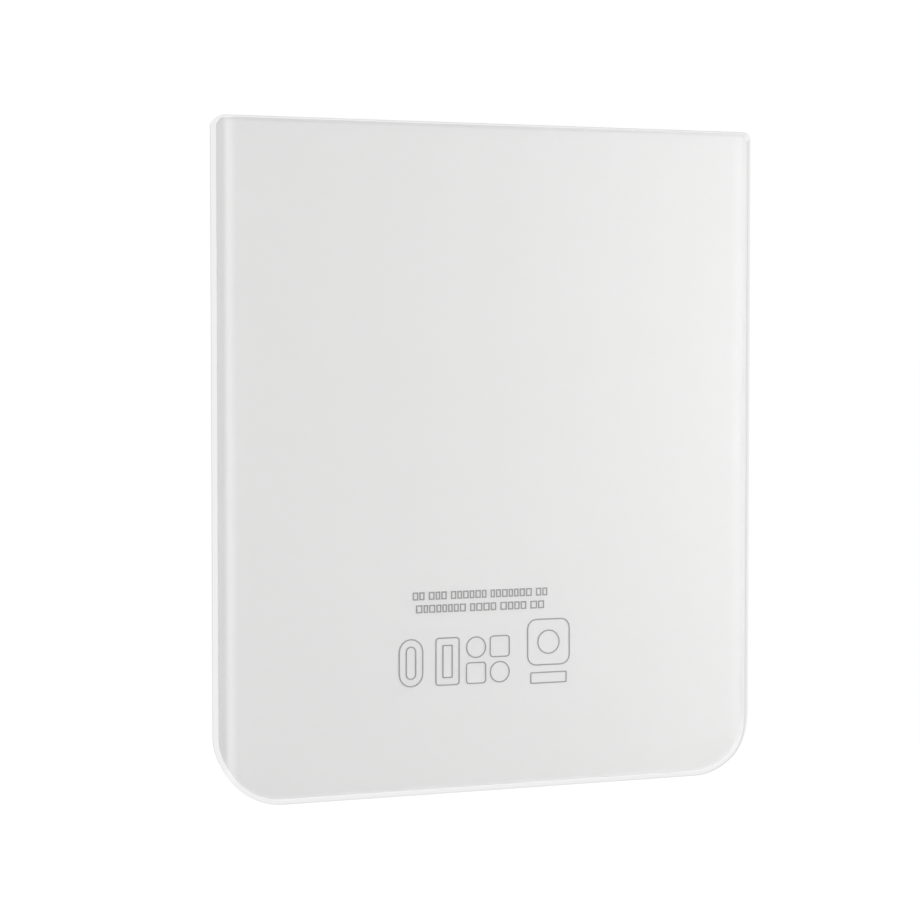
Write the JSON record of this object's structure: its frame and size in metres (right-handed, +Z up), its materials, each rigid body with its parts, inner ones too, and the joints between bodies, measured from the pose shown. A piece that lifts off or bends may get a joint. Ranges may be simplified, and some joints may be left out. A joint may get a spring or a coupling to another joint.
{
  "type": "rear cover panel",
  "caption": "Bonded glass rear cover for a pocket electronic device: curved long sides, white colour film, printed marks, and peel-off adhesive on its inner face.",
  "frame": {"origin": "middle of the panel on the bonding plane, which is the device-side face of the gasket and the centre tape", "axes": "+Z up towards the square-cornered edge, +X to the right when looking at the outer face, -Y the way the outer face looks"},
  "size_m": [0.07, 0.0023, 0.08],
  "materials": {
    "clear_glass": "polished clear glass, curved at the long sides",
    "white_film": "white pearl colour film, seen glossy through the glass",
    "grey_backing": "smooth matt grey opaque print",
    "grey_ink": "thin mid-grey screen print",
    "black_tape": "matt black closed-cell foam tape",
    "white_tape": "off-white double-sided tissue tape",
    "graphite_foil": "dark grey graphite foil with a faint sheen",
    "charcoal_foam": "fine open-cell charcoal foam",
    "amber_film": "translucent amber insulating film",
    "blue_liner": "clear pale blue release film",
    "blue_grip": "solid blue film grip"
  },
  "bodies": {
    "cover": {"battery_pad_left": "charcoal_foam", "battery_pad_right": "charcoal_foam", "bond_gasket": "black_tape", "centre_tape": "white_tape", "coil_pad_lower": "charcoal_foam", "coil_pad_upper": "charcoal_foam", "colour_film": "white_film", "connector_pad": "charcoal_foam", "glass_panel": "clear_glass", "graphite_sheet": "graphite_foil", "insulating_patch": "amber_film", "opaque_backing": "grey_backing", "print_badge_foot": "grey_ink", "print_badge_frame": "grey_ink", "print_badge_ring": "grey_ink", "print_capsule_inner": "grey_ink", "print_capsule_outer": "grey_ink", "print_cell_lower_left": "grey_ink", "print_cell_lower_right": "grey_ink", "print_cell_upper_left": "grey_ink", "print_cell_upper_right": "grey_ink", "print_row_1_bar_1": "grey_ink", "print_row_1_bar_2": "grey_ink", "print_row_1_bar_3": "grey_ink", "print_row_1_bar_4": "grey_ink", "print_row_1_bar_5": "grey_ink", "print_row_2_bar_1": "grey_ink", "print_row_2_bar_2": "grey_ink", "print_row_2_bar_3": "grey_ink", "print_row_2_bar_4": "grey_ink", "print_slot_inner": "grey_ink", "print_slot_outer": "grey_ink", "speaker_pad": "charcoal_foam"},
    "gasket_liner": {"gasket_liner": "blue_liner", "pull_grip_left": "blue_grip", "pull_grip_right": "blue_grip"},
    "centre_liner": {"centre_liner": "blue_liner", "pull_grip_centre": "blue_grip"}
  },
  "joints": [
    {"name": "gasket_liner_lift", "type": "slide", "parent": "cover", "child": "gasket_liner", "axis": [0, 1, 0], "range_m": [0, 0.025]},
    {"name": "centre_liner_lift", "type": "slide", "parent": "cover", "child": "centre_liner", "axis": [0, 1, 0], "range_m": [0, 0.025]}
  ]
}
